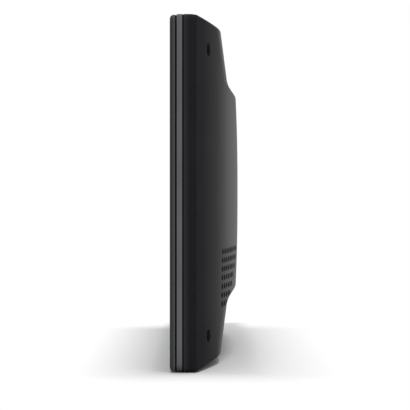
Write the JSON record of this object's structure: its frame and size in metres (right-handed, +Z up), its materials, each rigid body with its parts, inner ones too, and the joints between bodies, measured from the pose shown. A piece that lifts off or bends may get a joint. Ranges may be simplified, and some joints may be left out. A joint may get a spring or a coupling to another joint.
{
  "type": "car navigation and driver alert display",
  "caption": "Slim upright driver display with a dark cover glass, grey edge band, crowned black rear shell, speaker grille, power button, charging socket and a ball socket for a windscreen arm.",
  "frame": {"origin": "centre of the bounding box in plan, at the base edge that the unit stands on", "axes": "+X to the right seen from the screen side, +Y from the screen to the back, +Z up"},
  "size_m": [0.176, 0.0206, 0.1],
  "materials": {
    "front_glass": "polished dark cover glass",
    "gasket": "matt black foam",
    "panel_glass": "polished black display panel",
    "tray_metal": "satin sheet",
    "flex_film": "amber film",
    "connector_plastic": "moulded",
    "band_metal": "satin dark grey",
    "shell_plastic": "fine satin texture",
    "board_laminate": "green solder mask",
    "chip_plastic": "moulded black",
    "pad_rubber": "soft grey",
    "sheet_steel": "tinned sheet",
    "antenna_ceramic": "fired tan",
    "patch_metal": "silver patch",
    "battery_pouch": "printed foil",
    "wire_red": "insulated wire",
    "inner_plastic": "moulded black",
    "magnet_metal": "plated",
    "cone_film": "pressed film",
    "mesh_fabric": "fine black mesh",
    "screw_steel": "plated",
    "screw_black": "black oxide",
    "button_plastic": "satin",
    "card_plastic": "moulded black",
    "socket_plastic": "smooth satin",
    "pad_black": "matt black"
  },
  "bodies": {
    "housing": {"cover_glass": "front_glass", "front_gasket": "gasket", "lcd_panel": "panel_glass", "backlight_tray": "tray_metal", "lcd_flex": "flex_film", "lcd_connector": "connector_plastic", "mid_frame": "band_metal", "rear_gasket": "gasket", "rear_shell": "shell_plastic", "main_board": "board_laminate", "processor": "chip_plastic", "memory_chips": "chip_plastic", "thermal_pad": "pad_rubber", "shield_can": "sheet_steel", "radio_module": "sheet_steel", "gnss_antenna": "antenna_ceramic", "gnss_patch": "patch_metal", "battery": "battery_pouch", "battery_pad": "pad_rubber", "battery_plug": "connector_plastic", "battery_leads": "wire_red", "speaker_frame": "inner_plastic", "speaker_magnet": "magnet_metal", "speaker_seal": "gasket", "speaker_mesh": "mesh_fabric", "speaker_leads": "wire_red", "speaker_screws": "screw_steel", "switch_body": "sheet_steel", "usb_port": "sheet_steel", "usb_tongue": "chip_plastic", "card_slot": "sheet_steel", "ball_socket": "socket_plastic", "socket_pad": "pad_black", "socket_screws": "screw_steel", "shell_screws": "screw_black", "board_screws": "screw_steel"},
    "button": {"power_button": "button_plastic"},
    "plunger": {"switch_plunger": "connector_plastic"},
    "cone": {"speaker_cone": "cone_film"},
    "card": {"memory_card": "card_plastic"}
  },
  "joints": [
    {"name": "button_press", "type": "slide", "parent": "housing", "child": "button", "axis": [0, 0, -1], "range_m": [0, 0.0004], "stiffness_N_per_m": 1200},
    {"name": "plunger_press", "type": "slide", "parent": "housing", "child": "plunger", "axis": [0, 0, -1], "range_m": [0, 0.0004]},
    {"name": "cone_stroke", "type": "slide", "parent": "housing", "child": "cone", "axis": [0, 1, 0], "range_m": [-0.0003, 0.0003], "stiffness_N_per_m": 800},
    {"name": "card_slide", "type": "slide", "parent": "housing", "child": "card", "axis": [0, 0, -1], "range_m": [0, 0.012]}
  ],
  "couplings": [
    {"joint": "plunger_press", "follows": "button_press", "ratio": 1}
  ]
}
